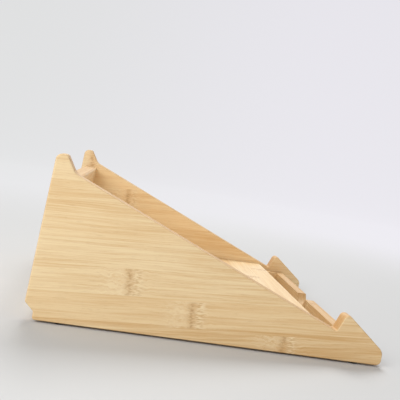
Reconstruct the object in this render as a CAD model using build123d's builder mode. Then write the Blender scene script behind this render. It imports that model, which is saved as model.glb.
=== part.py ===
from build123d import *
from math import cos, radians, sin, tan
import os

os.makedirs("parts", exist_ok=True)

# ---------------------------------------------------------------- driving sizes, in mm and degrees
# Frame: the front is at -Y, +Z is up, and the origin is on the table under the stand's middle.

# Whole stand
stand_width = 250.0          # outer face to outer face of the side panels
stand_length = 268.6         # rear edge of the panels to the tip of the nose
foot_height = 1.5            # the panels stand this far off the table

# Side panels, seen from the side: heights are above the panel's bottom edge
panel_thickness = 12.0
panel_edge_round = 1.0       # sanded arris on both faces
bed_slope = 22.4             # the sloping edge that carries the device
bed_end_height = 22.0        # bed height where it meets the front stop
bed_end_setback = 39.0       # that point lies this far behind the nose tip
front_slope = 38.5           # the edge from the stop down to the nose
nose_height = 11.0           # upright face of the nose, up to the line of the front slope
nose_top_radius = 7.5
nose_bottom_radius = 3.8
stop_tip_radius = 3.8
stop_corner_radius = 1.5     # cutter radius in the corner of bed and stop
rear_lean = 3.6              # the rear edge leans forwards
heel_length = 6.6            # the bottom of the rear edge is cut in by this much
heel_height = 12.5           # where the slanting cut starts
heel_knee_height = 6.2       # where it turns upright
heel_radius = 2.0
heel_knee_radius = 1.5
horn_foot_width = 16.0       # thickness of the rear horn where it leaves the bed
horn_top_width = 7.8
horn_rise = 12.6             # horn top above the rear end of the bed
horn_tip_radius = 4.7        # on its rear corner
horn_front_radius = 2.8      # on its front corner
horn_foot_radius = 8.0       # hollow between horn and bed

# Shelf board, housed in a groove in each panel
shelf_thickness = 5.0
shelf_housing_depth = 4.0
shelf_bed_gap = 1.6          # the bed passes this far above the shelf's front edge
shelf_nosing_radius = 1.8
glue_gap = 0.1               # clearance on each side of a housed board

# Rear rails
rail_inset = 10.0            # bottom rail and shelf start this far in from the rear-most point
bottom_rail_thickness = 10.0
top_rail_thickness = 12.0
top_rail_height = 28.0
top_rail_inset = 4.0         # from the rear edge of the panels
top_rail_drop = 5.0          # below the rear end of the bed
rail_edge_round = 1.5

# Dowels that hold the rails to the panels
dowel_diameter = 6.0
dowel_length = 24.0
dowel_panel_depth = 8.0      # how deep each dowel sits in its panel
dowel_chamfer = 0.6
dowel_clearance = 0.05       # on the radius
dowel_end_gap = 0.5
top_rail_dowel_pitch = 15.0

# Drawer: a slim tray between the panels, opening forwards
drawer_floor_gap = 3.0       # bottom of the drawer front above the table
drawer_front_height = 17.0
drawer_front_thickness = 9.0
drawer_setback = 12.8        # drawer front behind the panels' front slope, at its top edge
drawer_side_gap = 1.0        # running gap between drawer and panel
drawer_shelf_gap = 1.0       # running gap between drawer and shelf
drawer_box_lift = 1.0        # the sides end this far above the front's bottom edge
drawer_side_thickness = 9.0
drawer_back_thickness = 8.0
drawer_bottom_thickness = 3.0
drawer_bottom_lift = 1.2     # underside of the bottom board above the sides' lower edge
drawer_bottom_housing = 3.0  # how far the bottom board sits in its grooves
drawer_edge_round = 1.2
finger_count = 5             # fingers of both boards in a corner joint at the back
finger_gap = 0.05
notch_radius = 15.0          # finger scoop in the top edge of the drawer front
notch_depth = 8.5
divider_thickness = 5.0
divider_height = 10.0
divider_housing = 1.5
pen_tray_depth = 50.0        # clear width of the pen tray behind the drawer front

# Dowels that hold the drawer front to the drawer sides
pin_diameter = 4.0
pin_length = 16.0
pin_front_depth = 6.0
pin_pitch = 7.0
pin_chamfer = 0.4

# Runner strips on the panels, in grooves in the drawer sides
runner_height = 6.0
runner_depth = 4.5
runner_lift = 8.6            # middle of the runner above the drawer sides' lower edge
runner_end_radius = 2.4
runner_front_gap = 15.0      # front end behind the drawer front's rear face
runner_rear_gap = 4.0        # rear end in front of the bottom rail
runner_groove_gap = 0.3      # running clearance above and below the runner
runner_side_gap = 0.4        # running clearance beside the runner
runner_stop_gap = 1.0        # front end of the groove past the runner, drawer shut
screw_count = 3
screw_diameter = 2.5
screw_length = 12.0
screw_head_diameter = 4.8
screw_head_angle = 90.0
screw_end_margin = 18.0
screw_clearance = 0.05
screw_recess_width = 0.7
screw_recess_length = 2.8
screw_recess_depth = 0.7

# Bumpers on the bottom rail, where the drawer's back stops
bumper_diameter = 10.0
bumper_thickness = 2.0
bumper_gap = 0.4
bumper_spacing = 130.0

# Rubber feet
foot_diameter = 8.0
foot_chamfer = 0.3
front_foot_setback = 20.3    # foot centre behind the nose tip
rear_foot_inset = 26.0       # foot centre from the rear-most point

# ---------------------------------------------------------------- worked-out places
inner_width = stand_width - 2 * panel_thickness
panel_inner_x = inner_width / 2
panel_middle_x = stand_width / 2 - panel_thickness / 2
rear_y = stand_length / 2
bottom_z = foot_height


def meet(point_a, angle_a, point_b, angle_b):
    """Crossing point of two lines in a plane, each given by a point and an angle in degrees."""
    ax, ay = cos(radians(angle_a)), sin(radians(angle_a))
    bx, by = cos(radians(angle_b)), sin(radians(angle_b))
    dx, dy = point_b[0] - point_a[0], point_b[1] - point_a[1]
    along = (dx * by - dy * bx) / (ax * by - ay * bx)
    return (point_a[0] + along * ax, point_a[1] + along * ay)


# Corners of the panel outline as (Y, Z), before they are rounded
nose_bottom = (-stand_length / 2, bottom_z)
nose_top = (-stand_length / 2, bottom_z + nose_height)
bed_end = (-stand_length / 2 + bed_end_setback, bottom_z + bed_end_height)
stop_apex = meet(bed_end, 90 + bed_slope, nose_top, front_slope)
heel_top = (rear_y, bottom_z + heel_height)
heel_knee = (rear_y - heel_length, bottom_z + heel_knee_height)
heel_bottom = (rear_y - heel_length, bottom_z)
horn_foot_line = (heel_top[0] - horn_foot_width, heel_top[1])
bed_start = meet(bed_end, bed_slope, horn_foot_line, 90 + rear_lean)
panel_top_z = bed_start[1] + horn_rise
horn_rear = meet(heel_top, 90 + rear_lean, (0, panel_top_z), 0)
horn_front = (horn_rear[0] - horn_top_width, panel_top_z)

# Heights of what lies between the panels
drawer_bottom_z = drawer_floor_gap
drawer_top_z = drawer_bottom_z + drawer_front_height
shelf_bottom_z = drawer_top_z + drawer_shelf_gap
shelf_top_z = shelf_bottom_z + shelf_thickness

# Places along Y: the rear is +Y
rail_rear_y = rear_y - rail_inset
rail_front_y = rail_rear_y - bottom_rail_thickness
shelf_front_y = meet(bed_end, bed_slope, (0, shelf_top_z + shelf_bed_gap), 0)[0]
drawer_front_y = meet(nose_top, front_slope, (0, drawer_top_z), 0)[0] + drawer_setback
drawer_box_y = drawer_front_y + drawer_front_thickness
drawer_rear_y = rail_front_y - bumper_thickness - bumper_gap
runner_front_y = drawer_box_y + runner_front_gap
runner_rear_y = rail_front_y - runner_rear_gap

# The drawer's own sizes
drawer_width = inner_width - 2 * drawer_side_gap
drawer_inner_width = drawer_width - 2 * drawer_side_thickness
drawer_side_z = drawer_bottom_z + drawer_box_lift
drawer_side_height = drawer_top_z - drawer_side_z
board_bottom_z = drawer_side_z + drawer_bottom_lift
board_top_z = board_bottom_z + drawer_bottom_thickness
drawer_back_y = drawer_rear_y - drawer_back_thickness
runner_middle_z = drawer_side_z + runner_lift
groove_depth = runner_depth - drawer_side_gap + runner_side_gap
screw_head_depth = (screw_head_diameter - screw_diameter) / 2 / tan(radians(screw_head_angle / 2))

board_width = drawer_inner_width + 2 * (drawer_bottom_housing - glue_gap)
divider_middle_z = board_top_z + divider_height / 2
cross_divider_y = drawer_box_y + pen_tray_depth + divider_thickness / 2
dowel_hole_radius = dowel_diameter / 2 + dowel_clearance
rail_hole_depth = dowel_length - dowel_panel_depth + dowel_end_gap
rail_hole_xs = (-panel_inner_x + rail_hole_depth / 2, panel_inner_x - rail_hole_depth / 2)
rail_dowel_x = panel_inner_x + dowel_panel_depth - dowel_length / 2
pin_hole_radius = pin_diameter / 2 + dowel_clearance
pin_hole_front = pin_front_depth + dowel_end_gap
pin_hole_side = pin_length - pin_front_depth + dowel_end_gap

# Middle of the top rail, which lies along the rear edge
rail_line = (heel_top[0] - top_rail_inset - top_rail_thickness / 2, heel_top[1])
top_rail_top = meet(rail_line, 90 + rear_lean, (0, bed_start[1] - top_rail_drop), 0)
top_rail_middle = (
    top_rail_top[0] + top_rail_height / 2 * sin(radians(rear_lean)),
    top_rail_top[1] - top_rail_height / 2 * cos(radians(rear_lean)),
)
bottom_rail_z = (drawer_bottom_z + shelf_bottom_z) / 2
bottom_rail_middle = ((rail_rear_y + rail_front_y) / 2, bottom_rail_z)


def up_rail(distance):
    """Point of the top rail's middle line, as (Y, Z), at a distance above its middle."""
    return (
        top_rail_middle[0] - distance * sin(radians(rear_lean)),
        top_rail_middle[1] + distance * cos(radians(rear_lean)),
    )


top_rail_dowel_spots = [up_rail(-top_rail_dowel_pitch / 2), up_rail(top_rail_dowel_pitch / 2)]
bottom_rail_dowel_spots = [bottom_rail_middle]
rail_dowel_spots = top_rail_dowel_spots + bottom_rail_dowel_spots
screw_first_y = runner_front_y + screw_end_margin
screw_pitch = (runner_rear_y - runner_front_y - 2 * screw_end_margin) / (screw_count - 1)
screw_spots = [(screw_first_y + n * screw_pitch, runner_middle_z) for n in range(screw_count)]
pin_spots = [
    (side * (drawer_width - drawer_side_thickness) / 2, drawer_side_z + drawer_side_height / 2 + lift)
    for side in (-1, 1)
    for lift in (-pin_pitch / 2 + drawer_box_lift, pin_pitch / 2 + drawer_box_lift)
]
foot_spots = {
    "foot_front_left": (-panel_middle_x, -stand_length / 2 + front_foot_setback),
    "foot_front_right": (panel_middle_x, -stand_length / 2 + front_foot_setback),
    "foot_rear_left": (-panel_middle_x, rear_y - rear_foot_inset),
    "foot_rear_right": (panel_middle_x, rear_y - rear_foot_inset),
}


def corner(sketch, point):
    """The vertex of a sketch that lies at a point of its outline."""
    return sketch.vertices().sort_by_distance(Vector(*point))[0]


def drill_across(spots, middles_x, radius, depth):
    """Round holes along X in the current part, at each (Y, Z) spot, centred on each X."""
    with Locations(*[(x, y, z) for x in middles_x for y, z in spots]):
        Cylinder(radius, depth, rotation=(0, 90, 0), mode=Mode.SUBTRACT)


def dowels(spots, diameter, length, chamfer_length, turn):
    """Chamfered dowels centred on spots given as (X, Y, Z), turned from upright by turn."""
    with BuildPart() as group:
        with Locations(*[Location(spot, turn) for spot in spots]):
            Cylinder(diameter / 2, length)
        chamfer(group.edges().filter_by(GeomType.CIRCLE), chamfer_length)
    return group


def save(piece, label):
    """Name a finished piece and write it as its own file."""
    piece.part.label = label
    export_step(piece.part, f"parts/{label}.step")
    box = piece.part.bounding_box()
    print(f"{label}: {box.size.X:.1f} x {box.size.Y:.1f} x {box.size.Z:.1f}")


# ---------------------------------------------------------------- side panels
with BuildPart() as side_panel_left:
    with BuildSketch(Plane.YZ.offset(-stand_width / 2)) as outline:
        with BuildLine():
            Polyline(
                heel_bottom, nose_bottom, nose_top, stop_apex, bed_end,
                bed_start, horn_front, horn_rear, heel_top, heel_knee, close=True,
            )
        make_face()
        fillet(corner(outline, nose_bottom), nose_bottom_radius)
        fillet(corner(outline, nose_top), nose_top_radius)
        fillet(corner(outline, stop_apex), stop_tip_radius)
        fillet(corner(outline, bed_end), stop_corner_radius)
        fillet(corner(outline, bed_start), horn_foot_radius)
        fillet(corner(outline, horn_front), horn_front_radius)
        fillet(corner(outline, horn_rear), horn_tip_radius)
        fillet(corner(outline, heel_top), heel_radius)
        fillet(corner(outline, heel_knee), heel_knee_radius)
        fillet(corner(outline, heel_bottom), heel_radius)
    extrude(amount=panel_thickness)
    faces_across = side_panel_left.faces().filter_by(Axis.X)
    fillet(faces_across.edges(), panel_edge_round)
    # Stopped housing for the shelf, cut from the inner face
    with BuildSketch(Plane.YZ.offset(-panel_inner_x)):
        with Locations(((rail_rear_y + shelf_front_y) / 2, (shelf_bottom_z + shelf_top_z) / 2)):
            Rectangle(rail_rear_y - shelf_front_y + 2 * glue_gap, shelf_thickness + 2 * glue_gap)
    extrude(amount=-shelf_housing_depth, mode=Mode.SUBTRACT)
    # Blind holes for the rail dowels and the runner screws
    with Locations(Plane.YZ.offset(-panel_inner_x)):
        with Locations(*rail_dowel_spots):
            Hole(dowel_hole_radius, depth=dowel_panel_depth + dowel_end_gap)
        with Locations(*screw_spots):
            Hole(screw_diameter / 2 + screw_clearance, depth=screw_length - runner_depth + dowel_end_gap)
save(side_panel_left, "side_panel_left")

with BuildPart() as side_panel_right:
    mirror(side_panel_left.part, about=Plane.YZ)
save(side_panel_right, "side_panel_right")

# ---------------------------------------------------------------- boards between the panels
shelf_width = inner_width + 2 * (shelf_housing_depth - glue_gap)
with BuildPart() as shelf_board:
    with BuildSketch(Plane.YZ.offset(-shelf_width / 2)):
        with Locations(((rail_rear_y + shelf_front_y) / 2, (shelf_bottom_z + shelf_top_z) / 2)):
            Rectangle(rail_rear_y - shelf_front_y, shelf_thickness)
    extrude(amount=shelf_width)
    front_edges = shelf_board.edges().filter_by(Axis.X).group_by(Axis.Y)[0]
    fillet(front_edges, shelf_nosing_radius)
save(shelf_board, "shelf_board")

with BuildPart() as rear_top_rail:
    with BuildSketch(Plane.YZ.offset(-panel_inner_x)):
        with Locations(top_rail_middle):
            RectangleRounded(
                top_rail_thickness, top_rail_height, rail_edge_round, rotation=rear_lean
            )
    extrude(amount=inner_width)
    drill_across(top_rail_dowel_spots, rail_hole_xs, dowel_hole_radius, rail_hole_depth)
save(rear_top_rail, "rear_top_rail")

with BuildPart() as rear_bottom_rail:
    with BuildSketch(Plane.YZ.offset(-panel_inner_x)) as section:
        with Locations(bottom_rail_middle):
            Rectangle(bottom_rail_thickness, shelf_bottom_z - drawer_bottom_z)
        fillet(section.vertices().group_by(Axis.Y)[0], rail_edge_round)
    extrude(amount=inner_width)
    drill_across(bottom_rail_dowel_spots, rail_hole_xs, dowel_hole_radius, rail_hole_depth)
save(rear_bottom_rail, "rear_bottom_rail")

for spots, label in (
    (top_rail_dowel_spots, "top_rail_dowels"),
    (bottom_rail_dowel_spots, "bottom_rail_dowels"),
):
    places = [(side * rail_dowel_x, y, z) for side in (-1, 1) for y, z in spots]
    save(dowels(places, dowel_diameter, dowel_length, dowel_chamfer, (0, 90, 0)), label)

# ---------------------------------------------------------------- runners and their screws
with BuildPart() as runner_left:
    with BuildSketch(Plane.YZ.offset(-panel_inner_x)) as strip:
        with Locations(((runner_front_y + runner_rear_y) / 2, runner_middle_z)):
            Rectangle(runner_rear_y - runner_front_y, runner_height)
        fillet(strip.vertices().group_by(Axis.X)[0], runner_end_radius)
    extrude(amount=runner_depth)
    with Locations(Plane.YZ.offset(-panel_inner_x + runner_depth)):
        with Locations(*screw_spots):
            CounterSinkHole(
                screw_diameter / 2 + screw_clearance,
                screw_head_diameter / 2 + screw_clearance,
                counter_sink_angle=screw_head_angle,
            )
save(runner_left, "runner_left")

with BuildPart() as runner_right:
    mirror(runner_left.part, about=Plane.YZ)
save(runner_right, "runner_right")

# One countersunk screw, driven towards -X, with the face of its head at the origin
with BuildPart() as screw:
    with BuildSketch(Plane.XZ):
        with BuildLine():
            Polyline(
                (0, 0),
                (0, screw_head_diameter / 2),
                (-screw_head_depth, screw_diameter / 2),
                (-screw_length + screw_diameter, screw_diameter / 2),
                (-screw_length, 0),
                close=True,
            )
        make_face()
    revolve(axis=Axis.X)
    with BuildSketch(Plane.YZ):
        Rectangle(screw_recess_length, screw_recess_width)
        Rectangle(screw_recess_width, screw_recess_length)
    extrude(amount=-screw_recess_depth, mode=Mode.SUBTRACT)

screw_face_x = panel_inner_x - runner_depth
with BuildPart() as runner_screws:
    with Locations(*[Location((-screw_face_x, y, z), (0, 0, 0)) for y, z in screw_spots]):
        add(screw.part)
    with Locations(*[Location((screw_face_x, y, z), (0, 0, 180)) for y, z in screw_spots]):
        add(screw.part)
save(runner_screws, "runner_screws")

# ---------------------------------------------------------------- bumpers and feet
with BuildPart() as drawer_bumpers:
    with Locations(*[
        Location((side * bumper_spacing / 2, rail_front_y - bumper_thickness / 2, bottom_rail_z), (90, 0, 0))
        for side in (-1, 1)
    ]):
        Cylinder(bumper_diameter / 2, bumper_thickness)
save(drawer_bumpers, "drawer_bumpers")

for label, (x, y) in foot_spots.items():
    with BuildPart() as foot:
        with BuildSketch(Plane.XY):
            with Locations((x, y)):
                Circle(foot_diameter / 2)
        extrude(amount=foot_height)
        chamfer(foot.edges().group_by(Axis.Z)[0], foot_chamfer)
    save(foot, label)

# ---------------------------------------------------------------- drawer front
board_gap_z = drawer_bottom_thickness + 2 * glue_gap
board_middle_z = (board_bottom_z + board_top_z) / 2
with BuildPart() as drawer_front:
    with BuildSketch(Plane.XZ.offset(-drawer_box_y)) as face:
        with Locations((0, (drawer_bottom_z + drawer_top_z) / 2)):
            Rectangle(drawer_width, drawer_front_height)
        with Locations((0, drawer_top_z + notch_radius - notch_depth)):
            Circle(notch_radius, mode=Mode.SUBTRACT)
    extrude(amount=drawer_front_thickness)
    fillet(drawer_front.faces().sort_by(Axis.Y)[0].edges(), drawer_edge_round)
    # Groove for the bottom board, stopped short of the ends
    with BuildSketch(Plane.XZ.offset(-drawer_box_y)):
        with Locations((0, board_middle_z)):
            Rectangle(board_width + 2 * glue_gap, board_gap_z)
    extrude(amount=drawer_bottom_housing, mode=Mode.SUBTRACT)
    # Blind holes for the pins
    with Locations(*[(x, drawer_box_y - pin_hole_front / 2, z) for x, z in pin_spots]):
        Cylinder(pin_hole_radius, pin_hole_front, rotation=(90, 0, 0), mode=Mode.SUBTRACT)
save(drawer_front, "drawer_front")

# ---------------------------------------------------------------- drawer sides and back
finger_height = drawer_side_height / finger_count
finger_zs = [drawer_side_z + (n + 0.5) * finger_height for n in range(finger_count)]
side_middle_x = (drawer_width - drawer_side_thickness) / 2
groove_front_y = runner_front_y - runner_stop_gap


def runner_groove():
    """Cut both runner grooves, open at the rear, from the current part."""
    with Locations(*[
        (side * (drawer_width - groove_depth) / 2, (groove_front_y + drawer_rear_y) / 2, runner_middle_z)
        for side in (-1, 1)
    ]):
        Box(
            groove_depth,
            drawer_rear_y - groove_front_y,
            runner_height + 2 * runner_groove_gap,
            mode=Mode.SUBTRACT,
        )


with BuildPart() as drawer_side_left:
    with BuildSketch(Plane.YZ.offset(-drawer_width / 2)):
        with Locations(((drawer_box_y + drawer_rear_y) / 2, drawer_side_z + drawer_side_height / 2)):
            Rectangle(drawer_rear_y - drawer_box_y, drawer_side_height)
    extrude(amount=drawer_side_thickness)
    # Sockets for the back board's fingers
    with Locations(*[
        (-side_middle_x, drawer_rear_y - drawer_back_thickness / 2, z) for z in finger_zs[1::2]
    ]):
        Box(
            drawer_side_thickness,
            drawer_back_thickness + 2 * finger_gap,
            finger_height + 2 * finger_gap,
            mode=Mode.SUBTRACT,
        )
    runner_groove()
    # Groove for the bottom board, along the inner face
    with BuildSketch(Plane.YZ.offset(-drawer_inner_width / 2)):
        with Locations(((drawer_box_y + drawer_back_y) / 2 + drawer_bottom_housing / 2, board_middle_z)):
            Rectangle(drawer_back_y - drawer_box_y + drawer_bottom_housing, board_gap_z)
    extrude(amount=-drawer_bottom_housing, mode=Mode.SUBTRACT)
    # Housing for the cross divider
    with BuildSketch(Plane.YZ.offset(-drawer_inner_width / 2)):
        with Locations((cross_divider_y, divider_middle_z)):
            Rectangle(divider_thickness + 2 * glue_gap, divider_height + 2 * glue_gap)
    extrude(amount=-divider_housing, mode=Mode.SUBTRACT)
    # Blind holes for the pins of the drawer front
    with Locations(*[(x, drawer_box_y + pin_hole_side / 2, z) for x, z in pin_spots if x < 0]):
        Cylinder(pin_hole_radius, pin_hole_side, rotation=(90, 0, 0), mode=Mode.SUBTRACT)
save(drawer_side_left, "drawer_side_left")

with BuildPart() as drawer_side_right:
    mirror(drawer_side_left.part, about=Plane.YZ)
save(drawer_side_right, "drawer_side_right")

with BuildPart() as drawer_back:
    with BuildSketch(Plane.XZ.offset(-drawer_rear_y)):
        with Locations((0, drawer_side_z + drawer_side_height / 2)):
            Rectangle(drawer_width, drawer_side_height)
    extrude(amount=drawer_back_thickness)
    # Sockets for the side boards' fingers
    with Locations(*[
        (side * side_middle_x, drawer_rear_y - drawer_back_thickness / 2, z)
        for side in (-1, 1)
        for z in finger_zs[0::2]
    ]):
        Box(
            drawer_side_thickness + 2 * finger_gap,
            drawer_back_thickness,
            finger_height,
            mode=Mode.SUBTRACT,
        )
    runner_groove()
    # Groove for the bottom board and housing for the long divider
    with BuildSketch(Plane.XZ.offset(-drawer_back_y)):
        with Locations((0, board_middle_z)):
            Rectangle(board_width + 2 * glue_gap, board_gap_z)
    extrude(amount=-drawer_bottom_housing, mode=Mode.SUBTRACT)
    with BuildSketch(Plane.XZ.offset(-drawer_back_y)):
        with Locations((0, divider_middle_z)):
            Rectangle(divider_thickness + 2 * glue_gap, divider_height + 2 * glue_gap)
    extrude(amount=-divider_housing, mode=Mode.SUBTRACT)
save(drawer_back, "drawer_back")

# ---------------------------------------------------------------- drawer bottom and dividers
with BuildPart() as drawer_bottom:
    with BuildSketch(Plane.XY.offset(board_bottom_z)):
        with Locations((0, (drawer_box_y + drawer_back_y) / 2)):
            Rectangle(board_width, drawer_back_y - drawer_box_y + 2 * (drawer_bottom_housing - glue_gap))
    extrude(amount=drawer_bottom_thickness)
save(drawer_bottom, "drawer_bottom")

with BuildPart() as divider_cross:
    with BuildSketch(Plane.XY.offset(board_top_z)):
        with Locations((0, cross_divider_y)):
            Rectangle(drawer_inner_width + 2 * (divider_housing - glue_gap), divider_thickness)
    extrude(amount=divider_height)
    # Housing for the long divider, in the rear face
    with Locations((0, cross_divider_y + (divider_thickness - divider_housing) / 2, divider_middle_z)):
        Box(divider_thickness + 2 * glue_gap, divider_housing, divider_height, mode=Mode.SUBTRACT)
save(divider_cross, "divider_cross")

long_divider_front_y = cross_divider_y + divider_thickness / 2 - divider_housing + glue_gap
long_divider_rear_y = drawer_back_y + divider_housing - glue_gap
with BuildPart() as divider_long:
    with BuildSketch(Plane.XY.offset(board_top_z)):
        with Locations((0, (long_divider_front_y + long_divider_rear_y) / 2)):
            Rectangle(divider_thickness, long_divider_rear_y - long_divider_front_y)
    extrude(amount=divider_height)
save(divider_long, "divider_long")

# ---------------------------------------------------------------- pins of the drawer front
pin_middle_y = drawer_box_y - pin_front_depth + pin_length / 2
pin_places = [(x, pin_middle_y, z) for x, z in pin_spots]
save(dowels(pin_places, pin_diameter, pin_length, pin_chamfer, (90, 0, 0)), "drawer_pins")
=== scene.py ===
"""Looks of a bamboo desk stand with a slim drawer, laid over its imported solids.

The solids give every board its shape and place. This script gives each board its bamboo, with the
grain laid the way that board is cut, eases the sharp arrises, moulds the rubber feet, raises the
nap of the felt bumpers, and sets the studio. Lengths are in metres unless a name ends in _mm or _px.
"""
import logging
import math
from dataclasses import dataclass
from enum import Enum
from typing import Iterable, Sequence, Union

import bmesh
import bpy
from mathutils import Matrix, Vector


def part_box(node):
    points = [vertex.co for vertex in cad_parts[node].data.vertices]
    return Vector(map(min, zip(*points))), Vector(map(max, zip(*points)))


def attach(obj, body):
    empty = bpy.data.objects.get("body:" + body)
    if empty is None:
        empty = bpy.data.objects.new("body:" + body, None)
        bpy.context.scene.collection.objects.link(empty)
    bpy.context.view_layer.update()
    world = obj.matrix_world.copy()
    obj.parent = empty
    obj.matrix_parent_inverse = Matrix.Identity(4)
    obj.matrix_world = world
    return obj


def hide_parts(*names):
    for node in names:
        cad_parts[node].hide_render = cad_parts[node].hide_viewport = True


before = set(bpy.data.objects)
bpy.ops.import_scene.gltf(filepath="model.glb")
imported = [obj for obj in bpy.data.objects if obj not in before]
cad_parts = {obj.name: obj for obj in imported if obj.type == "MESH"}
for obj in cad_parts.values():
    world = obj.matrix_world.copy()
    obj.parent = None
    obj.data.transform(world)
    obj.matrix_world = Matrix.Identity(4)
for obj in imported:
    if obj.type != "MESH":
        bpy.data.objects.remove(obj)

log = logging.getLogger("stand")

Socket = bpy.types.NodeSocket
Value = Union[float, Socket]
Colour = tuple[float, float, float]
MM = 0.001
WELD_M = 1e-6
SAME_PLANE_M = 1e-5
SHARP_DEG = 50.0


class Body(str, Enum):
    """Rigid bodies of the record that the scene's own pieces ride on."""

    STAND = "stand"


class Slot(str, Enum):
    """Material slots of the record. Nothing in this script uses them; the scene's own pieces take this
    script's own finishes.
    """

    FELT = "felt"
    RUBBER = "foot_rubber"


# ---------------------------------------------------------------- shader graphs
class Graph:
    """Short calls for the nodes that the finishes are made of."""

    def __init__(self, tree: bpy.types.NodeTree) -> None:
        """Keeps the tree that the nodes go into."""
        self.tree = tree

    def node(self, kind: str, **settings: object) -> bpy.types.Node:
        """Adds a node.

        Args:
            kind: the node's type, such as ShaderNodeMath.
            settings: attributes to set on it.

        Returns:
            The new node.
        """
        made = self.tree.nodes.new(kind)
        for key, value in settings.items():
            setattr(made, key, value)
        return made

    def feed(self, target: Socket, value: Union[Value, Sequence[float]]) -> None:
        """Links a socket to target, or writes a constant into it.

        Args:
            target: the input that is fed.
            value: the output to link, or the constant.
        """
        if isinstance(value, bpy.types.NodeSocket):
            self.tree.links.new(value, target)
        else:
            target.default_value = value

    def math(self, operation: str, a: Value, b: Value = 0.0, c: Value = 0.0) -> Socket:
        """Adds a Math node.

        Args:
            operation: the node's operation, such as MULTIPLY_ADD.
            a: first operand.
            b: second operand.
            c: third operand.

        Returns:
            The result.
        """
        made = self.node("ShaderNodeMath", operation=operation)
        for socket, value in zip(made.inputs, (a, b, c)):
            self.feed(socket, value)
        return made.outputs[0]

    def ramp(self, value: Value, start: float, end: float, low: float = 0.0, high: float = 1.0) -> Socket:
        """Adds a smooth step.

        Args:
            value: what is mapped.
            start: the value at which the step begins.
            end: the value at which it ends.
            low: the result at the start and before it.
            high: the result at the end and past it.

        Returns:
            The eased value.
        """
        made = self.node("ShaderNodeMapRange", interpolation_type="SMOOTHSTEP")
        for socket, given in zip(made.inputs, (value, start, end, low, high)):
            self.feed(socket, given)
        return made.outputs[0]

    def point(self, x: Value, y: Value, z: Value) -> Socket:
        """Joins three numbers.

        Args:
            x: first number.
            y: second number.
            z: third number.

        Returns:
            The vector.
        """
        made = self.node("ShaderNodeCombineXYZ")
        for socket, value in zip(made.inputs, (x, y, z)):
            self.feed(socket, value)
        return made.outputs[0]

    def split(self, vector: Socket) -> tuple[Socket, Socket, Socket]:
        """Splits a vector.

        Args:
            vector: what is split.

        Returns:
            Its three numbers.
        """
        made = self.node("ShaderNodeSeparateXYZ")
        self.feed(made.inputs[0], vector)
        return tuple(made.outputs)

    def noise(self, vector: Socket, scale: float, detail: float = 2.0, roughness: float = 0.5) -> Socket:
        """Adds smooth noise.

        Args:
            vector: where it is read.
            scale: how many features there are to a unit of length.
            detail: how many finer octaves it has.
            roughness: how strong the finer octaves are.

        Returns:
            The noise, from 0 to 1.
        """
        made = self.node("ShaderNodeTexNoise")
        self.feed(made.inputs["Vector"], vector)
        made.inputs["Scale"].default_value = scale
        made.inputs["Detail"].default_value = detail
        made.inputs["Roughness"].default_value = roughness
        return made.outputs[0]

    def dice(self, x: Value, y: Value, z: float) -> tuple[Socket, Socket, Socket]:
        """Draws for a cell.

        Args:
            x: the cell's first index.
            y: the cell's second index.
            z: the seed.

        Returns:
            Three random numbers from 0 to 1.
        """
        made = self.node("ShaderNodeTexWhiteNoise", noise_dimensions="3D")
        self.feed(made.inputs["Vector"], self.point(x, y, z))
        return self.split(made.outputs["Color"])

    def bell(self, value: Socket, centre: float, spread: float) -> Socket:
        """Returns 1 where value is at the centre, fallen to 1/e where it is off by the spread."""
        away = self.math("DIVIDE", self.math("SUBTRACT", value, centre), spread)
        return self.math("EXPONENT", self.math("MULTIPLY", self.math("MULTIPLY", away, away), -1.0))

    def mix(self, share: Value, a: Union[Socket, Colour], b: Union[Socket, Colour]) -> Socket:
        """Mixes two colours.

        Args:
            share: how much of b there is, from 0 to 1.
            a: colour at 0.
            b: colour at 1.

        Returns:
            The colour between them.
        """
        made = self.node("ShaderNodeMix", data_type="RGBA")
        self.feed(made.inputs[0], share)
        for socket, value in ((made.inputs[6], a), (made.inputs[7], b)):
            self.feed(socket, value if isinstance(value, bpy.types.NodeSocket) else (*value, 1.0))
        return made.outputs[2]

    def bump(self, height: Socket, strength: float, distance: float) -> Socket:
        """Adds a bump.

        Args:
            height: the height map.
            strength: how much it counts.
            distance: the height of a full step, in metres.

        Returns:
            The bent normal.
        """
        made = self.node("ShaderNodeBump")
        made.inputs["Strength"].default_value = strength
        made.inputs["Distance"].default_value = distance
        self.feed(made.inputs["Height"], height)
        return made.outputs[0]


@dataclass(frozen=True)
class Finish:
    """A named material. Subclasses say what it looks like."""

    name: str

    def shade(self, graph: Graph, surface: bpy.types.Node) -> None:
        """Links this finish's nodes to the surface shader."""
        raise NotImplementedError

    def material(self) -> bpy.types.Material:
        """Makes the Blender material, once for each name.

        Returns:
            The material.
        """
        known = bpy.data.materials.get(self.name)
        if known is not None:
            return known
        made = bpy.data.materials.new(self.name)
        made.use_nodes = True
        made.node_tree.nodes.clear()
        graph = Graph(made.node_tree)
        surface = graph.node("ShaderNodeBsdfPrincipled")
        output = graph.node("ShaderNodeOutputMaterial")
        graph.feed(output.inputs["Surface"], surface.outputs[0])
        self.shade(graph, surface)
        return made


@dataclass(frozen=True)
class Grain:
    """How a board is cut: the way its fibres run, and the way its strips lie side by side."""

    along: tuple[float, float, float]
    across: tuple[float, float, float]

    def turn(self) -> tuple[float, float, float]:
        """Returns the Euler angles that take the stand's axes to along, across and through."""
        along, across = Vector(self.along).normalized(), Vector(self.across).normalized()
        return tuple(Matrix((along, across, along.cross(across))).to_euler("XYZ"))


GRAIN_X = Grain(along=(1, 0, 0), across=(0, 1, 0))
GRAIN_X_UPRIGHT = Grain(along=(1, 0, 0), across=(0, 0, 1))
GRAIN_Y_UPRIGHT = Grain(along=(0, 1, 0), across=(0, 0, 1))


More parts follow.
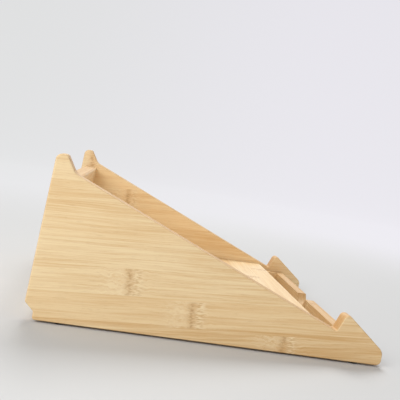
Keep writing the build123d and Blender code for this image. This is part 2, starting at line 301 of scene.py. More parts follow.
@dataclass(frozen=True)
class FibreLayer:
    """One layer of the grain: noise drawn out along the fibres, and the part of its range that shows."""

    draw_out: float
    per_mm: float
    detail: float
    start: float
    end: float
    roughness: float = 0.6

    def strength(self, graph: Graph, along: Socket, lane: Socket, through: Socket) -> Socket:
        """Reads the layer at a place in the board.

        Args:
            graph: where the nodes are made.
            along: place along the fibres, in mm.
            lane: place across the fibres, in mm, bent as they bend.
            through: place through the board, in mm.

        Returns:
            How strong the layer is, from 0 to 1.
        """
        place = graph.point(graph.math("MULTIPLY", along, self.draw_out), lane, through)
        noise = graph.noise(place, self.per_mm, self.detail, self.roughness)
        return graph.ramp(noise, self.start, self.end)


BANDS = FibreLayer(0.034, 0.34, 2.0, 0.36, 0.64)
LINES = FibreLayer(0.016, 1.50, 3.0, 0.34, 0.68)
HAIRS = FibreLayer(0.050, 4.60, 2.0, 0.30, 0.70)
PORES = FibreLayer(0.045, 2.70, 1.0, 0.62, 0.74)


@dataclass(frozen=True)
class Spot:
    """A place in a laminated board, in mm along the fibres, across them, and through the board."""

    along: Socket
    across: Socket
    through: Socket

    def drawn(self, graph: Graph, draw_out: float) -> Socket:
        """Returns the place for noise that is drawn out along the fibres."""
        return graph.point(graph.math("MULTIPLY", self.along, draw_out), self.across, self.through)


@dataclass(frozen=True)
class BambooFinish(Finish):
    """Laminated bamboo: strips side by side, fibres, knuckles, and browner cut edges, whose brown is partly
    the cut wood's own colour and partly painted shade.

    The pattern is solid, so it runs from a face over the arris to the end grain.
    """

    grain: Grain
    seed: int
    strip_mm: float = 19.4
    strip_shift_mm: float = 0.0
    strip_glue_mm: float = 0.45
    ply_mm: float = 5.2
    ply_shift_mm: float = 0.0
    ply_glue_mm: float = 0.30
    knuckles_mm: tuple[tuple[float, float], ...] = ()
    internode_mm: float = 310.0
    far_mm: float = 400.0
    lane_step_mm: float = 31.7
    swirl_mm: float = 11.0
    drift_mm: float = 5.5
    light: Colour = (0.930, 0.765, 0.500)
    pale: Colour = (0.890, 0.700, 0.418)
    tan: Colour = (0.680, 0.415, 0.168)
    warm: Colour = (0.800, 0.520, 0.235)
    brown: Colour = (0.430, 0.195, 0.045)
    # cut: the brown of cut edges and end grain, partly the cut wood's own colour and partly painted shade
    # on the edges and arrises
    cut: Colour = (0.480, 0.235, 0.065)
    paleness: float = 0.24
    # painted shade: the board's colour runs paler at the rear and darker towards the front, as the light
    # falls off; this weight sets how much, between the two places below
    front_shade_weight: float = 0.0
    front_shade_from_mm: float = 110.0
    front_shade_to_mm: float = -130.0
    roughness: float = 0.38
    relief_m: float = 0.00012

    def _knuckle_distance(self, graph: Graph, spot: Spot, luck: Socket) -> Socket:
        """Measures to the nearest knuckle of the strip.

        Args:
            graph: where the nodes are made.
            spot: the place in the board.
            luck: the strip's own random number.

        Returns:
            The distance in mm along the fibres, with its sign.
        """
        if not self.knuckles_mm:
            start = graph.math("MULTIPLY_ADD", luck, self.internode_mm, spot.along)
            turned = graph.math("FLOORED_MODULO", start, self.internode_mm)
            return graph.math("SUBTRACT", turned, self.internode_mm / 2)
        nearest: Value = self.far_mm
        for knuckle_along, knuckle_across in self.knuckles_mm:
            away = graph.math("ABSOLUTE", graph.math("SUBTRACT", spot.across, knuckle_across))
            outside = graph.math("GREATER_THAN", away, self.strip_mm / 2)
            straight = graph.math("SUBTRACT", spot.along, knuckle_along)
            ahead = graph.math("MULTIPLY_ADD", outside, self.far_mm, straight)
            closer = graph.math("LESS_THAN", graph.math("ABSOLUTE", ahead), graph.math("ABSOLUTE", nearest))
            if isinstance(nearest, float):
                nearest = ahead
            else:
                step = graph.math("SUBTRACT", ahead, nearest)
                nearest = graph.math("MULTIPLY_ADD", closer, step, nearest)
        return nearest

    def _knuckle(self, graph: Graph, ground: Socket, ahead: Socket, spot: Spot) -> Socket:
        """Draws the knuckles: a ragged brown seam and spots between pale, twisted fibres.

        Args:
            graph: where the nodes are made.
            ground: the colour of the wood.
            ahead: distance in mm along the fibres to the nearest knuckle.
            spot: the place in the board.

        Returns:
            The colour with its knuckles.
        """
        ragged = graph.noise(graph.point(0.0, spot.across, spot.through), 0.42, 2.0, 0.6)
        seam = graph.math("MULTIPLY_ADD", graph.math("SUBTRACT", ragged, 0.5), 6.0, ahead)
        figure = graph.noise(spot.drawn(graph, 0.45), 0.75, 2.0, 0.6)
        ticks = graph.noise(spot.drawn(graph, 0.22), 1.25, 1.0)
        pale_side = graph.math("MULTIPLY", graph.bell(ahead, 9.0, 12.0), graph.ramp(figure, 0.30, 0.66))
        pale_ticks = graph.math("MULTIPLY", graph.bell(ahead, -6.0, 3.2), graph.ramp(ticks, 0.50, 0.60))
        dark_ticks = graph.math("MULTIPLY", graph.bell(ahead, -5.0, 3.6), graph.ramp(ticks, 0.50, 0.38))
        spots = graph.math("MULTIPLY", graph.bell(ahead, 0.8, 2.9), graph.ramp(figure, 0.42, 0.64))
        looked = ground
        for share, weight, colour in (
            (pale_side, 0.38, self.light),
            (pale_ticks, 0.62, self.light),
            (dark_ticks, 0.30, self.brown),
            (graph.bell(ahead, 0.8, 3.0), 0.15, self.brown),
            (graph.bell(seam, 0.6, 1.1), 0.14, self.brown),
            (spots, 0.50, self.brown),
        ):
            looked = graph.mix(graph.math("MULTIPLY", share, weight), looked, colour)
        return looked

    def _lane(self, graph: Graph, spot: Spot, strip: Socket, ahead: Socket) -> Socket:
        """Bends the fibres: gently all along, and round the knuckles, most on the root side.

        Args:
            graph: where the nodes are made.
            spot: the place in the board.
            strip: the number of the strip.
            ahead: distance in mm along the fibres to the nearest knuckle.

        Returns:
            The place across the fibres, in mm, with each strip far from the next.
        """
        swirl = graph.noise(spot.drawn(graph, 0.7), 0.20, 2.0)
        bend = graph.math("MULTIPLY", graph.math("SUBTRACT", swirl, 0.5), graph.bell(ahead, 5.0, 17.0))
        drift = graph.noise(spot.drawn(graph, 0.13), 0.075, 1.0)
        turned = graph.math("MULTIPLY", bend, self.swirl_mm)
        sway = graph.math("MULTIPLY_ADD", graph.math("SUBTRACT", drift, 0.5), self.drift_mm, turned)
        return graph.math("MULTIPLY_ADD", strip, self.lane_step_mm, graph.math("ADD", spot.across, sway))

    def shade(self, graph: Graph, surface: bpy.types.Node) -> None:
        """Links this finish's nodes to the surface shader.

        Args:
            graph: where the nodes are made.
            surface: the surface shader they feed.
        """
        place = graph.node("ShaderNodeTexCoord")
        board = graph.node("ShaderNodeMapping")
        graph.feed(board.inputs["Vector"], place.outputs["Object"])
        board.inputs["Rotation"].default_value = self.grain.turn()
        board.inputs["Scale"].default_value = (1 / MM,) * 3
        spot = Spot(*graph.split(board.outputs[0]))

        # Plies and strips, each with its own chance
        plies = graph.math("DIVIDE", graph.math("SUBTRACT", spot.through, self.ply_shift_mm), self.ply_mm)
        ply = graph.math("FLOOR", plies)
        staggered = 0.0 if self.knuckles_mm else 1.0
        shift = graph.math("MULTIPLY", graph.dice(ply, 0.5, self.seed)[0], staggered)
        placed = graph.math("SUBTRACT", spot.across, self.strip_shift_mm)
        strips = graph.math("ADD", graph.math("DIVIDE", placed, self.strip_mm), shift)
        strip = graph.math("FLOOR", strips)
        tone, luck, warmth = graph.dice(strip, ply, self.seed + 0.37)
        glue = self._seam(graph, strips, self.strip_mm, self.strip_glue_mm)
        ply_glue = self._seam(graph, plies, self.ply_mm, self.ply_glue_mm)
        ahead = self._knuckle_distance(graph, spot, luck)
        lane = self._lane(graph, spot, strip, ahead)
        bands, lines, hairs, pores = (
            layer.strength(graph, spot.along, lane, spot.through) for layer in (BANDS, LINES, HAIRS, PORES)
        )

        # From pale to tan, and browner where the board is cut: partly the cut wood's own colour, partly
        # painted shade on the cut edges and arrises
        facing = graph.split(self._turned(graph, place.outputs["Normal"]))
        edge = graph.ramp(graph.math("ABSOLUTE", facing[2]), 0.35, 0.95, 1.0, 0.0)
        end = graph.ramp(graph.math("ABSOLUTE", facing[0]), 0.55, 0.95)
        cut_glue = graph.math("MULTIPLY", ply_glue, edge)
        # painted shade: paler at the rear, darker towards the front, as the light falls off
        front_shade_ramp = graph.ramp(spot.along, self.front_shade_from_mm, self.front_shade_to_mm, -0.5, 0.5)
        depth: Value = -self.paleness
        for layer, weight in (
            (tone, 0.38),
            (bands, 0.38),
            (lines, 0.40),
            (hairs, 0.12),
            (glue, 0.20),
            (front_shade_ramp, self.front_shade_weight),
        ):
            depth = graph.math("MULTIPLY_ADD", layer, weight, depth)
        share = graph.node("ShaderNodeClamp")
        graph.feed(share.inputs[0], depth)
        ground = graph.mix(share.outputs[0], self.pale, self.tan)
        ground = graph.mix(graph.math("MULTIPLY", warmth, 0.30), ground, self.warm)
        ground = graph.mix(graph.math("MULTIPLY", pores, 0.22), ground, self.brown)
        ground = self._knuckle(graph, ground, ahead, spot)
        # Brown on cut edges, arrises and end grain: the cut wood's own colour, with painted shade added on
        # the edges and arrises
        cut_and_shade_share = graph.math("MULTIPLY_ADD", edge, 0.46, graph.math("MULTIPLY", end, 0.14))
        cut_and_shade_share = graph.math("MULTIPLY_ADD", cut_glue, 0.28, cut_and_shade_share)
        graph.feed(surface.inputs["Base Color"], graph.mix(cut_and_shade_share, ground, self.cut))

        rough = graph.math("MULTIPLY_ADD", edge, 0.10, self.roughness)
        graph.feed(surface.inputs["Roughness"], graph.math("MULTIPLY_ADD", hairs, 0.10, rough))
        height = graph.math("MULTIPLY_ADD", lines, 0.5, graph.math("MULTIPLY", hairs, 0.3))
        for layer, weight in ((pores, -0.5), (glue, -0.4), (cut_glue, -0.4)):
            height = graph.math("MULTIPLY_ADD", layer, weight, height)
        graph.feed(surface.inputs["Normal"], graph.bump(height, 0.22, self.relief_m))
        surface.inputs["Specular IOR Level"].default_value = 0.42

    def _seam(self, graph: Graph, cells: Socket, width_mm: float, fade_mm: float) -> Socket:
        """Finds the glue line between two cells.

        Args:
            graph: where the nodes are made.
            cells: the place counted in cells.
            width_mm: the width of a cell.
            fade_mm: how far from the line its stain has gone.

        Returns:
            1 on the line, and 0 away from it.
        """
        beside = graph.math("ABSOLUTE", graph.math("SUBTRACT", graph.math("FRACT", cells), 0.5))
        to_seam_mm = graph.math("MULTIPLY", graph.math("SUBTRACT", 0.5, beside), width_mm)
        return graph.ramp(to_seam_mm, 0.05, fade_mm, 1.0, 0.0)

    def _turned(self, graph: Graph, direction: Socket) -> Socket:
        """Turns a direction of the stand into the board's own axes.

        Args:
            graph: where the nodes are made.
            direction: the direction in the stand's axes.

        Returns:
            The direction along, across and through.
        """
        turned = graph.node("ShaderNodeVectorRotate", rotation_type="EULER_XYZ")
        graph.feed(turned.inputs["Vector"], direction)
        turned.inputs["Rotation"].default_value = self.grain.turn()
        return turned.outputs[0]


@dataclass(frozen=True)
class BeechFinish(Finish):
    """Plain turned beech: short flecks on a pinkish ground."""

    axis: int = 0
    grain_along: float = 60.0
    grain_across: float = 900.0
    pale: Colour = (0.66, 0.43, 0.25)
    dark: Colour = (0.50, 0.30, 0.16)
    fleck: Colour = (0.34, 0.18, 0.09)

    def shade(self, graph: Graph, surface: bpy.types.Node) -> None:
        """Links this finish's nodes to the surface shader.

        Args:
            graph: where the nodes are made.
            surface: the surface shader they feed.
        """
        place = graph.node("ShaderNodeTexCoord")
        drawn = graph.node("ShaderNodeMapping")
        graph.feed(drawn.inputs["Vector"], place.outputs["Object"])
        drawn.inputs["Scale"].default_value = tuple(
            self.grain_along if i == self.axis else self.grain_across for i in range(3)
        )
        fibres = graph.noise(drawn.outputs[0], 1.0, 3.0, 0.6)
        flecks = graph.ramp(graph.noise(drawn.outputs[0], 2.1, 1.0), 0.60, 0.70)
        ground = graph.mix(fibres, self.pale, self.dark)
        graph.feed(surface.inputs["Base Color"], graph.mix(flecks, ground, self.fleck))
        graph.feed(surface.inputs["Roughness"], graph.math("MULTIPLY_ADD", fibres, 0.2, 0.45))
        graph.feed(surface.inputs["Normal"], graph.bump(fibres, 0.2, 0.0001))


@dataclass(frozen=True)
class RubberFinish(Finish):
    """Moulded black rubber with a fine spark-eroded skin and some dust."""

    black: Colour = (0.017, 0.016, 0.016)
    dusty: Colour = (0.085, 0.078, 0.070)

    def shade(self, graph: Graph, surface: bpy.types.Node) -> None:
        """Links this finish's nodes to the surface shader.

        Args:
            graph: where the nodes are made.
            surface: the surface shader they feed.
        """
        place = graph.node("ShaderNodeTexCoord").outputs["Object"]
        skin = graph.noise(place, 5200.0, 3.0, 0.65)
        dust = graph.ramp(graph.noise(place, 420.0, 3.0, 0.6), 0.48, 0.75)
        ground = graph.mix(graph.math("MULTIPLY", dust, 0.3), self.black, self.dusty)
        graph.feed(surface.inputs["Base Color"], ground)
        graph.feed(surface.inputs["Roughness"], graph.math("MULTIPLY_ADD", skin, 0.25, 0.52))
        graph.feed(surface.inputs["Normal"], graph.bump(skin, 0.35, 0.00006))
        surface.inputs["Specular IOR Level"].default_value = 0.35


@dataclass(frozen=True)
class FeltFinish(Finish):
    """Needled wool felt in mottled dark grey."""

    deep: Colour = (0.035, 0.034, 0.033)
    top: Colour = (0.120, 0.115, 0.110)
    light: Colour = (0.200, 0.190, 0.180)

    def shade(self, graph: Graph, surface: bpy.types.Node) -> None:
        """Links this finish's nodes to the surface shader.

        Args:
            graph: where the nodes are made.
            surface: the surface shader they feed.
        """
        place = graph.node("ShaderNodeTexCoord").outputs["Object"]
        fibres = graph.noise(place, 3800.0, 4.0, 0.7)
        mottle = graph.noise(place, 700.0, 2.0)
        ground = graph.mix(graph.ramp(fibres, 0.35, 0.7), self.deep, self.top)
        ground = graph.mix(graph.math("MULTIPLY", mottle, 0.3), ground, self.light)
        graph.feed(surface.inputs["Base Color"], ground)
        graph.feed(surface.inputs["Roughness"], graph.math("MULTIPLY_ADD", mottle, 0.1, 0.86))
        graph.feed(surface.inputs["Normal"], graph.bump(fibres, 0.7, 0.0002))
        surface.inputs["Sheen Weight"].default_value = 0.35


@dataclass(frozen=True)
class SteelFinish(Finish):
    """Zinc-plated steel, clouded and finely scratched."""

    bright: Colour = (0.58, 0.56, 0.52)
    dull: Colour = (0.42, 0.40, 0.36)

    def shade(self, graph: Graph, surface: bpy.types.Node) -> None:
        """Links this finish's nodes to the surface shader.

        Args:
            graph: where the nodes are made.
            surface: the surface shader they feed.
        """
        place = graph.node("ShaderNodeTexCoord").outputs["Object"]
        cloud = graph.noise(place, 900.0, 3.0, 0.6)
        scratches = graph.noise(place, 6500.0, 2.0, 0.7)
        graph.feed(surface.inputs["Base Color"], graph.mix(cloud, self.bright, self.dull))
        graph.feed(surface.inputs["Roughness"], graph.math("MULTIPLY_ADD", scratches, 0.22, 0.22))
        graph.feed(surface.inputs["Normal"], graph.bump(scratches, 0.15, 0.00003))
        surface.inputs["Metallic"].default_value = 1.0


@dataclass(frozen=True)
class PaperFinish(Finish):
    """Matt seamless paper that the stand is shown on.

    Away from the stand it turns darker and glows a little, so that it stays evenly pale.
    """

    floor: Colour = (0.600, 0.604, 0.604)
    far: Colour = (0.040, 0.040, 0.040)
    glow_left: Colour = (0.700, 0.706, 0.708)
    glow_right: Colour = (0.765, 0.752, 0.800)
    glow_behind: float = 0.75
    rise_from: float = 0.35
    rise_to: float = 1.0
    side_y: float = 0.9
    behind_x: float = -1.8
    before_x: float = 0.6

    def shade(self, graph: Graph, surface: bpy.types.Node) -> None:
        """Links this finish's nodes to the surface shader.

        Args:
            graph: where the nodes are made.
            surface: the surface shader they feed.
        """
        place = graph.node("ShaderNodeTexCoord").outputs["Object"]
        x, y, _ = graph.split(place)
        away = graph.math("SQRT", graph.math("MULTIPLY_ADD", x, x, graph.math("MULTIPLY", y, y)))
        rise = graph.ramp(away, self.rise_from, self.rise_to)
        tooth = graph.noise(place, 900.0, 2.0)
        graph.feed(surface.inputs["Base Color"], graph.mix(rise, self.floor, self.far))
        graph.feed(surface.inputs["Roughness"], graph.math("MULTIPLY_ADD", tooth, 0.1, 0.75))
        glow = graph.mix(graph.ramp(y, self.side_y, -self.side_y), self.glow_left, self.glow_right)
        share = graph.ramp(x, self.behind_x, self.before_x, self.glow_behind, 1.0)
        lit = graph.math("MULTIPLY", rise, share)
        graph.feed(surface.inputs["Emission Color"], graph.mix(lit, (0, 0, 0), glow))
        surface.inputs["Emission Strength"].default_value = 1.0
        surface.inputs["Specular IOR Level"].default_value = 0.2


# ---------------------------------------------------------------- helpers for objects
def new_object(name: str, mesh: bpy.types.Mesh) -> bpy.types.Object:
    """Puts a mesh into the scene, at the origin.

    Args:
        name: the object's name.
        mesh: its mesh.

    Returns:
        The new object.
    """
    made = bpy.data.objects.new(name, mesh)
    bpy.context.scene.collection.objects.link(made)
    return made


def paint(thing: bpy.types.Object, finish: Finish) -> None:
    """Gives an object one finish on all its faces."""
    thing.data.materials.clear()
    thing.data.materials.append(finish.material())


def lathe(mesh: bmesh.types.BMesh, profile: Sequence[tuple[float, float]], sides: int) -> None:
    """Spins a profile round +Z into the mesh, closed at the axis.

    Args:
        mesh: where the surface is made.
        profile: pairs of radius and height. The first one lies on the axis.
        sides: how many faces go round.
    """
    spine = [mesh.verts.new((radius, 0.0, height)) for radius, height in profile]
    edges = [mesh.edges.new(pair) for pair in zip(spine, spine[1:])]
    line = [*spine, *edges]
    bmesh.ops.spin(mesh, geom=line, axis=(0, 0, 1), cent=(0, 0, 0), steps=sides, angle=2 * math.pi)
    bmesh.ops.remove_doubles(mesh, verts=mesh.verts, dist=WELD_M)
    bmesh.ops.recalc_face_normals(mesh, faces=mesh.faces)
    for face in mesh.faces:
        face.smooth = True


def ease_arrises(node: bpy.types.Object, width_mm: float) -> None:
    """Rounds the sharp arrises of a carried-over solid, as sandpaper does, with live modifiers.

    Args:
        node: the solid's object.
        width_mm: the width of the rounding.
    """
    weld = node.modifiers.new("weld", "WELD")
    weld.merge_threshold = WELD_M
    bevel = node.modifiers.new("arris", "BEVEL")
    bevel.width = width_mm * MM
    bevel.segments = 2
    bevel.limit_method = "ANGLE"
    bevel.angle_limit = math.radians(SHARP_DEG)
    bevel.harden_normals = True


# ---------------------------------------------------------------- sub-assemblies
@dataclass
class BoardLook:
    """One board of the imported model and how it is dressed."""

    node: str
    grain: Grain
    seed: int
    eased_mm: float = 0.35
    strip_mm: float = 19.4

    def dress(self) -> None:
        """Gives the board its bamboo and its eased arrises."""
        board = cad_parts[self.node]
        paint(board, BambooFinish(f"bamboo_{self.node}", self.grain, self.seed, self.strip_mm))
        if self.eased_mm:
            ease_arrises(board, self.eased_mm)


@dataclass
class SidePanels:
    """The two wedge panels. Their fibres climb a little towards the front."""

    grain_climb_deg: float = 4.0
    strip_mm: float = 19.8
    ply_mm: float = 4.0
    ply_shift_mm: float = 1.02
    # painted shade: how much darker the panels are coloured towards the front
    front_shade_weight: float = 0.24
    seed_left: int = 12
    seed_right: int = 23
    knuckles_yz_mm: tuple[tuple[float, float], ...] = ((63.0, 38.1), (14.4, 20.4), (-57.0, 4.2))

    def grain(self) -> Grain:
        """Works out how the panels are cut.

        Returns:
            The lie of their fibres and strips.
        """
        climb = math.radians(self.grain_climb_deg)
        run, rise = math.cos(climb), math.sin(climb)
        return Grain(along=(0, run, -rise), across=(0, rise, run))

    def board_spot(self, y_mm: float, z_mm: float) -> tuple[float, float]:
        """Finds a spot of the panel's face along and across the fibres.

        Args:
            y_mm: how far back it is.
            z_mm: how high up it is.

        Returns:
            The two distances, in mm.
        """
        grain = self.grain()
        spot = Vector((0, y_mm, z_mm))
        return spot.dot(Vector(grain.along)), spot.dot(Vector(grain.across))

    def dress(self) -> None:
        """Gives both panels their bamboo. The left one has its knuckles at known spots."""
        spots = tuple(self.board_spot(y, z) for y, z in self.knuckles_yz_mm)
        shift = spots[0][1] - self.strip_mm / 2
        left = BambooFinish(
            "bamboo_side_panel_left",
            self.grain(),
            self.seed_left,
            strip_mm=self.strip_mm,
            strip_shift_mm=shift,
            ply_mm=self.ply_mm,
            ply_shift_mm=-self.ply_shift_mm,
            front_shade_weight=self.front_shade_weight,
            knuckles_mm=spots,
        )
        right = BambooFinish(
            "bamboo_side_panel_right",
            self.grain(),
            self.seed_right,
            strip_mm=self.strip_mm,
            ply_mm=self.ply_mm,
            ply_shift_mm=self.ply_shift_mm,
            front_shade_weight=self.front_shade_weight,
        )
        paint(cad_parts["side_panel_left"], left)
        paint(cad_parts["side_panel_right"], right)


@dataclass
class Carcass:
    """What joins the panels: the shelf, two rails, and the runner strips."""

    boards: tuple[BoardLook, ...] = (
        BoardLook("shelf_board", GRAIN_X, 31, eased_mm=0.2, strip_mm=21.0),
        BoardLook("rear_top_rail", GRAIN_X_UPRIGHT, 37, eased_mm=0.3),
        BoardLook("rear_bottom_rail", GRAIN_X_UPRIGHT, 41, eased_mm=0.3),
        BoardLook("runner_left", GRAIN_Y_UPRIGHT, 43, eased_mm=0.0, strip_mm=6.3),
        BoardLook("runner_right", GRAIN_Y_UPRIGHT, 47, eased_mm=0.0, strip_mm=6.3),
    )

    def dress(self) -> None:
        """Dresses every board and the hidden dowels."""
        for board in self.boards:
            board.dress()
        for name in ("top_rail_dowels", "bottom_rail_dowels"):
            paint(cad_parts[name], BeechFinish("beech_across", 0))


@dataclass
class Drawer:
    """The drawer: front, finger-jointed box, bottom board, and two dividers."""

    boards: tuple[BoardLook, ...] = (
        BoardLook("drawer_front", GRAIN_X_UPRIGHT, 53, eased_mm=0.0),
        BoardLook("drawer_side_left", GRAIN_Y_UPRIGHT, 59),
        BoardLook("drawer_side_right", GRAIN_Y_UPRIGHT, 61),
        BoardLook("drawer_back", GRAIN_X_UPRIGHT, 67),
        BoardLook("drawer_bottom", GRAIN_X, 71, eased_mm=0.15, strip_mm=21.0),
        BoardLook("divider_cross", GRAIN_X_UPRIGHT, 73),
        BoardLook("divider_long", GRAIN_Y_UPRIGHT, 79),
    )

    def dress(self) -> None:
        """Dresses every board and the hidden pins."""
        for board in self.boards:
            board.dress()
        paint(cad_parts["drawer_pins"], BeechFinish("beech_lengthwise", 1))


@dataclass
class Feet:
    """Four moulded rubber feet: a rounded shoulder, two grip rings, and a dished middle."""

    nodes: tuple[str, ...] = ("foot_front_left", "foot_front_right", "foot_rear_left", "foot_rear_right")
    shoulder_mm: float = 0.35
    shoulder_steps: int = 5
    ring_mm: float = 0.12
    ring_spots: tuple[float, ...] = (0.42, 0.66)
    top_edge_mm: float = 0.15
    sides: int = 40

    def profile(self, radius: float, height: float) -> list[tuple[float, float]]:
        """Draws half the section of a foot. The places of the rings are shares of its radius.

        Args:
            radius: the foot's radius.
            height: its height.

        Returns:
            Pairs of radius and height, from the middle of the sole to the middle of the top.
        """
        soft, ring, edge = self.shoulder_mm * MM, self.ring_mm * MM, self.top_edge_mm * MM
        points = [(0.0, ring * 2), (radius * 0.18, ring * 1.7), (radius * 0.30, ring * 0.6)]
        for spot in self.ring_spots:
            points += [(radius * (spot - 0.06), 0.0), (radius * (spot + 0.04), 0.0)]
            points += [(radius * (spot + 0.08), ring), (radius * (spot + 0.13), ring)]
        for step in range(self.shoulder_steps + 1):
            angle = math.radians(90 / self.shoulder_steps * step)
            points.append((radius - soft + soft * math.sin(angle), soft - soft * math.cos(angle)))
        return points + [(radius, height - edge), (radius - edge, height), (0.0, height)]

    def mesh(self) -> bpy.types.Mesh:
        """Spins one foot round +Z, with its sole at the origin.

        Returns:
            The foot's mesh.
        """
        low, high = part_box(self.nodes[0])
        made = bmesh.new()
        lathe(made, self.profile((high.x - low.x) / 2, high.z - low.z), self.sides)
        mesh = bpy.data.meshes.new("foot")
        made.to_mesh(mesh)
        made.free()
        return mesh

    def dress(self) -> None:
        """Puts a moulded foot in the place of each plain one."""
        source = self.mesh()
        for name in self.nodes:
            low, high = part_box(name)
            mesh = source.copy()
            mesh.transform(Matrix.Translation(((low.x + high.x) / 2, (low.y + high.y) / 2, low.z)))
            foot = new_object(f"moulded_{name}", mesh)
            paint(foot, RubberFinish("rubber_foot"))
            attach(foot, Body.STAND.value)
            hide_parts(name)


@dataclass
class Hardware:
    """Screws of the runners and the felt bumpers, whose nap Geometry Nodes raise."""

    fibre_mm: float = 0.32
    fibre_radius_mm: float = 0.022
    fibres_per_mm2: float = 11.0
    fibre_sides: int = 3
    lean_rad: float = 0.9
    spin_rad: float = 6.283
    seed: int = 5

    def nap_group(self) -> bpy.types.GeometryNodeTree:
        """Builds the node group that scatters short, leaning fibres over a mesh.

        Returns:
            The node group.
        """
        tree = bpy.data.node_groups.new("felt_nap", "GeometryNodeTree")
        sockets = tree.interface
        sockets.new_socket("Geometry", in_out="INPUT", socket_type="NodeSocketGeometry")
        for label, kind, value in (
            ("Density", "NodeSocketFloat", 1.0),
            ("Length", "NodeSocketFloat", 0.001),
            ("Radius", "NodeSocketFloat", 0.0001),
            ("Seed", "NodeSocketInt", 0),
        ):
            sockets.new_socket(label, in_out="INPUT", socket_type=kind).default_value = value
        sockets.new_socket("Material", in_out="INPUT", socket_type="NodeSocketMaterial")
        sockets.new_socket("Geometry", in_out="OUTPUT", socket_type="NodeSocketGeometry")
        graph = Graph(tree)
        given, result = graph.node("NodeGroupInput"), graph.node("NodeGroupOutput")
        scatter = graph.node("GeometryNodeDistributePointsOnFaces")
        cone = graph.node("GeometryNodeMeshCone")
        cone.inputs["Vertices"].default_value = self.fibre_sides
        cone.inputs["Radius Top"].default_value = 0.0
        tilt = graph.node("FunctionNodeRandomValue", data_type="FLOAT_VECTOR")
        tilt.inputs[0].default_value = (-self.lean_rad, -self.lean_rad, 0.0)
        tilt.inputs[1].default_value = (self.lean_rad, self.lean_rad, self.spin_rad)
        lean = graph.node("FunctionNodeRotateRotation", rotation_space="LOCAL")
        stand_up = graph.node("GeometryNodeInstanceOnPoints")
        realize = graph.node("GeometryNodeRealizeInstances")
        colour = graph.node("GeometryNodeSetMaterial")
        link = tree.links.new
        link(given.outputs["Geometry"], scatter.inputs["Mesh"])
        link(given.outputs["Density"], scatter.inputs["Density"])
        link(given.outputs["Seed"], scatter.inputs["Seed"])
        link(given.outputs["Length"], cone.inputs["Depth"])
        link(given.outputs["Radius"], cone.inputs["Radius Bottom"])
        link(given.outputs["Seed"], tilt.inputs["Seed"])
        link(scatter.outputs["Rotation"], lean.inputs[0])
        link(tilt.outputs[0], lean.inputs[1])
        link(scatter.outputs["Points"], stand_up.inputs["Points"])
        link(cone.outputs["Mesh"], stand_up.inputs["Instance"])
        link(lean.outputs[0], stand_up.inputs["Rotation"])
        link(stand_up.outputs[0], realize.inputs[0])
        link(realize.outputs[0], colour.inputs["Geometry"])
        link(given.outputs["Material"], colour.inputs["Material"])
        link(colour.outputs[0], result.inputs[0])
        return tree

    def nap(self, felt: FeltFinish) -> bpy.types.Object:
        """Grows the nap on the front of both bumpers.

        Args:
            felt: the finish of the fibres.

        Returns:
            The fibres as one object.
        """
        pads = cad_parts["drawer_bumpers"].data
        made = bmesh.new()
        made.from_mesh(pads)
        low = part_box("drawer_bumpers")[0]
        away = [f for f in made.faces if f.calc_center_median().y > low.y + SAME_PLANE_M]
        bmesh.ops.delete(made, geom=away, context="FACES")
        mesh = bpy.data.meshes.new("bumper_fronts")
        made.to_mesh(mesh)
        made.free()
        seedbed = new_object("bumper_fronts", mesh)
        grow = seedbed.modifiers.new("nap", "NODES")
        grow.node_group = self.nap_group()
        settings = {
            "Density": self.fibres_per_mm2 / MM**2,
            "Length": self.fibre_mm * MM,
            "Radius": self.fibre_radius_mm * MM,
            "Seed": self.seed,
            "Material": felt.material(),
        }
        for item in grow.node_group.interface.items_tree:
            if item.in_out == "INPUT" and item.name in settings:
                grow[item.identifier] = settings[item.name]
        bpy.context.view_layer.update()
        graph = bpy.context.evaluated_depsgraph_get()
        fibres = bpy.data.meshes.new_from_object(seedbed.evaluated_get(graph))
        bpy.data.objects.remove(seedbed)
        return new_object("felt_nap", fibres)

    def dress(self) -> None:
        """Dresses the screws and bumpers."""
        paint(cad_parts["runner_screws"], SteelFinish("zinc_screws"))
        felt = FeltFinish("felt_bumpers")
        paint(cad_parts["drawer_bumpers"], felt)
        nap = self.nap(felt)
        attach(nap, Body.STAND.value)


@dataclass(frozen=True)
class Lamp:
    """A soft square light."""

    name: str
    place: tuple[float, float, float]
    size: float
    watts: float
    colour: Colour = (1.0, 0.985, 0.96)

    def hang(self, aim: Vector) -> None:
        """Puts the lamp into the scene.

        Args:
            aim: the point that it faces.
        """
        data = bpy.data.lights.new(self.name, "AREA")
        data.size, data.energy, data.color = self.size, self.watts, self.colour
        lamp = bpy.data.objects.new(self.name, data)
        lamp.location = self.place
        lamp.rotation_euler = (Vector(self.place) - aim).to_track_quat("Z", "Y").to_euler()
        bpy.context.scene.collection.objects.link(lamp)


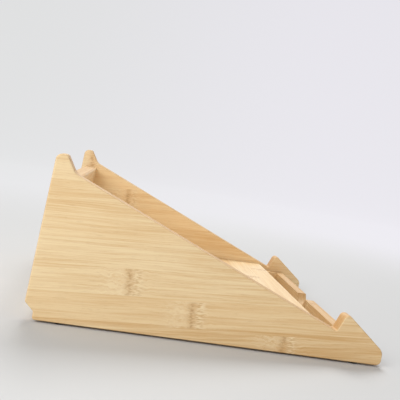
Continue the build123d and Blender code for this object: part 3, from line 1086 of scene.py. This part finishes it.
@dataclass
class Studio:
    """A seamless paper bowl, soft lights, and the camera."""

    floor_radius: float = 1.6
    sweep_radius: float = 0.9
    sweep_steps: int = 12
    wall_height: float = 1.6
    sides: int = 96
    sky: Colour = (0.95, 0.97, 1.0)
    sky_strength: float = 0.32
    lamps: tuple[Lamp, ...] = (
        Lamp("key", (1.30, -0.15, 1.95), 1.2, 39.0),
        Lamp("fill", (-0.72, 0.70, 0.62), 0.7, 7.6),
    )
    aim: tuple[float, float, float] = (0.0, 0.0, 0.05)
    sensor_mm: float = 36.0
    focal_px: float = 608.16
    frame_px: float = 400.0
    clip: tuple[float, float] = (0.01, 20.0)
    eye: tuple[float, float, float] = (-0.557285, 0.074116, 0.137207)
    right: tuple[float, float, float] = (-0.10323, -0.98065, 0.16633)
    ahead: tuple[float, float, float] = (0.99038, -0.11683, -0.07414)

    def paper(self) -> None:
        """Makes the floor, which sweeps up into a wall on all sides."""
        profile = [(0.0, 0.0), (self.floor_radius * 0.5, 0.0), (self.floor_radius, 0.0)]
        for step in range(1, self.sweep_steps + 1):
            angle = math.radians(90 / self.sweep_steps * step)
            out, up = self.sweep_radius * math.sin(angle), self.sweep_radius * math.cos(angle)
            profile.append((self.floor_radius + out, self.sweep_radius - up))
        profile.append((self.floor_radius + self.sweep_radius, self.wall_height))
        made = bmesh.new()
        lathe(made, profile, self.sides)
        if made.faces[0].normal.z < 0:
            bmesh.ops.reverse_faces(made, faces=made.faces)
        mesh = bpy.data.meshes.new("paper")
        made.to_mesh(mesh)
        made.free()
        paper = new_object("paper", mesh)
        paint(paper, PaperFinish("seamless_paper"))

    def lights(self) -> None:
        """Sets the sky and the lamps."""
        world = bpy.data.worlds.new("sky")
        world.use_nodes = True
        back = world.node_tree.nodes["Background"]
        back.inputs["Color"].default_value = (*self.sky, 1.0)
        back.inputs["Strength"].default_value = self.sky_strength
        bpy.context.scene.world = world
        for lamp in self.lamps:
            lamp.hang(Vector(self.aim))

    def camera(self) -> None:
        """Places the camera at the viewing angle of the reference."""
        data = bpy.data.cameras.new("camera")
        data.sensor_width = self.sensor_mm
        data.lens = self.focal_px / self.frame_px * data.sensor_width
        data.clip_start, data.clip_end = self.clip
        ahead = Vector(self.ahead).normalized()
        right = (Vector(self.right) - ahead * ahead.dot(Vector(self.right))).normalized()
        turn = Matrix((right, right.cross(ahead), -ahead)).transposed()
        camera = bpy.data.objects.new("camera", data)
        camera.matrix_world = Matrix.Translation(self.eye) @ turn.to_4x4()
        bpy.context.scene.collection.objects.link(camera)
        bpy.context.scene.camera = camera

    def build(self) -> None:
        """Sets up everything that isn't the stand."""
        self.paper()
        self.lights()
        self.camera()
        bpy.context.scene.view_settings.view_transform = "Standard"


def main() -> None:
    """Dresses the stand and sets the studio."""
    logging.basicConfig(level=logging.INFO)
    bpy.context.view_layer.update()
    for part in (SidePanels(), Carcass(), Drawer(), Feet(), Hardware()):
        part.dress()
        log.info("dressed %s", type(part).__name__)
    Studio().build()


if __name__ == "__main__":
    main()
